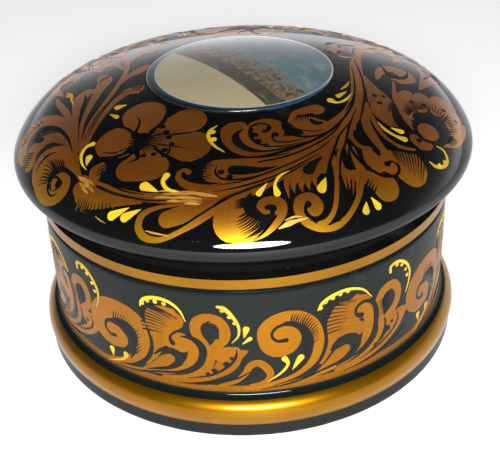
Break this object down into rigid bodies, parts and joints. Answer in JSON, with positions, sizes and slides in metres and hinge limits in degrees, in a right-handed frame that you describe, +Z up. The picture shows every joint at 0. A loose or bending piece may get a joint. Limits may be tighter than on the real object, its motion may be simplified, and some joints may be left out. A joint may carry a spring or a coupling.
{
  "type": "painted wooden lidded box",
  "caption": "Round turned-wood box with a rolled foot and a domed lift-off lid, painted with gold scrollwork, with a medallion on the lid.",
  "frame": {"origin": "centre of the foot, on the surface that the box stands on", "axes": "+Z up along the turning axis; -Y is the front, the side that the medallion's lower edge faces"},
  "size_m": [0.15, 0.15, 0.0929],
  "materials": {
    "bowl_lacquer": "black ground under clear gloss lacquer",
    "lid_lacquer": "black ground under clear gloss lacquer",
    "gold_paint": "gold under yellowed gloss lacquer",
    "yellow_paint": "bright gold under gloss lacquer",
    "black_line": "fine black brush lines under gloss lacquer",
    "medallion_print": "printed picture under clear gloss lacquer"
  },
  "bodies": {
    "bowl": {"bowl": "bowl_lacquer"},
    "lid": {"lid": "lid_lacquer", "medallion": "medallion_print"}
  },
  "joints": [
    {"name": "lid_lift", "type": "slide", "parent": "bowl", "child": "lid", "axis": [0, 0, 1], "range_m": [0, 0.08]}
  ]
}
